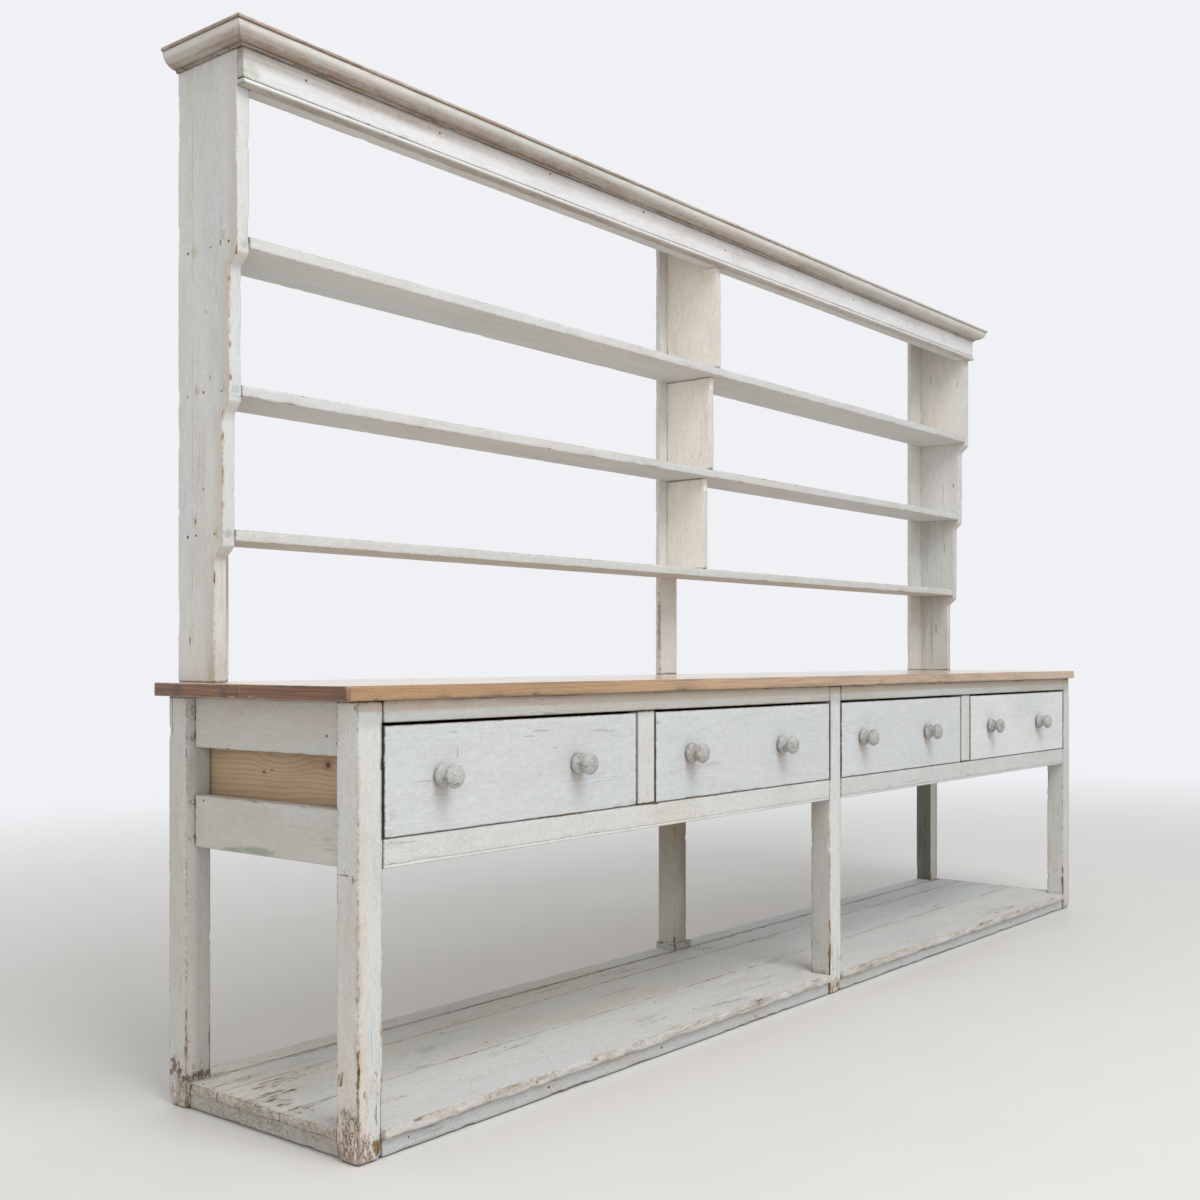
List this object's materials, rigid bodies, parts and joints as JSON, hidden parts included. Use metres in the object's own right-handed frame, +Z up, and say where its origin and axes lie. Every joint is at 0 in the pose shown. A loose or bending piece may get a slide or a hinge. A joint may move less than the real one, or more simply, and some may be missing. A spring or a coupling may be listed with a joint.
{
  "type": "potboard dresser with open plate rack",
  "caption": "Long painted pine dresser: a six-legged base with a row of drawers above an open potboard, under an open-backed plate rack with shelves, frieze and cornice.",
  "frame": {"origin": "on the floor under the middle of the whole piece, drawer knobs included", "axes": "+X along the length to the right of someone who faces the front, -Y out of the front towards them, +Z up"},
  "size_m": [3.54, 0.64, 2.196],
  "materials": {
    "old_paint": "chalky off-white paint on pine, grimy and chipped at the edges",
    "drawer_paint": "thin bluish-white paint on pine, worn",
    "plinth_paint": "scuffed blue-grey paint on pine",
    "potboard_paint": "off-white paint on pine, walked and scrubbed thin",
    "bare_pine": "unfinished old pine",
    "waxed_pine": "waxed and worn pine"
  },
  "bodies": {
    "frame": {"worktop_front_board": "waxed_pine", "worktop_back_board": "waxed_pine", "worktop_tongue": "waxed_pine", "leg_front_left": "old_paint", "leg_front_middle": "old_paint", "leg_front_right": "old_paint", "leg_back_left": "old_paint", "leg_back_middle": "old_paint", "leg_back_right": "old_paint", "front_top_rails": "old_paint", "front_bottom_rails": "old_paint", "drawer_muntins": "old_paint", "side_upper_rails": "old_paint", "side_lower_rails": "old_paint", "back_panels": "bare_pine", "drawer_runners": "bare_pine", "drawer_guides": "bare_pine", "drawer_kickers": "bare_pine", "joint_pegs": "bare_pine", "plinth_front_rails": "plinth_paint", "plinth_end_rails": "plinth_paint", "plinth_back_rails": "plinth_paint", "potboard_bearers": "bare_pine", "potboard_board_1": "potboard_paint", "potboard_board_2": "potboard_paint", "potboard_board_3": "potboard_paint", "potboard_board_4": "potboard_paint", "leg_collar": "old_paint", "rack_end_left": "old_paint", "rack_end_right": "old_paint", "rack_back_stiles": "old_paint", "rack_shelf_top": "old_paint", "rack_shelf_middle": "old_paint", "rack_shelf_low": "old_paint", "rack_divider_top": "old_paint", "rack_divider_middle": "old_paint", "rack_divider_low": "old_paint", "rack_roof_board": "bare_pine", "frieze_board": "old_paint", "frieze_backing_rail": "old_paint", "frieze_bead": "old_paint", "cornice_front": "old_paint", "cornice_returns": "old_paint", "rack_dowels": "bare_pine"},
    "drawer_1": {"drawer_1_front": "drawer_paint", "drawer_1_carcass": "bare_pine", "drawer_1_bottom": "bare_pine", "drawer_1_knobs": "drawer_paint"},
    "drawer_2": {"drawer_2_front": "drawer_paint", "drawer_2_carcass": "bare_pine", "drawer_2_bottom": "bare_pine", "drawer_2_knobs": "drawer_paint"},
    "drawer_3": {"drawer_3_front": "drawer_paint", "drawer_3_carcass": "bare_pine", "drawer_3_bottom": "bare_pine", "drawer_3_knobs": "drawer_paint"},
    "drawer_4": {"drawer_4_front": "drawer_paint", "drawer_4_carcass": "bare_pine", "drawer_4_bottom": "bare_pine", "drawer_4_knobs": "drawer_paint"}
  },
  "joints": [
    {"name": "drawer_1_slide", "type": "slide", "parent": "frame", "child": "drawer_1", "axis": [0, -1, 0], "range_m": [0, 0.42]},
    {"name": "drawer_2_slide", "type": "slide", "parent": "frame", "child": "drawer_2", "axis": [0, -1, 0], "range_m": [0, 0.42]},
    {"name": "drawer_3_slide", "type": "slide", "parent": "frame", "child": "drawer_3", "axis": [0, -1, 0], "range_m": [0, 0.42]},
    {"name": "drawer_4_slide", "type": "slide", "parent": "frame", "child": "drawer_4", "axis": [0, -1, 0], "range_m": [0, 0.42]}
  ]
}
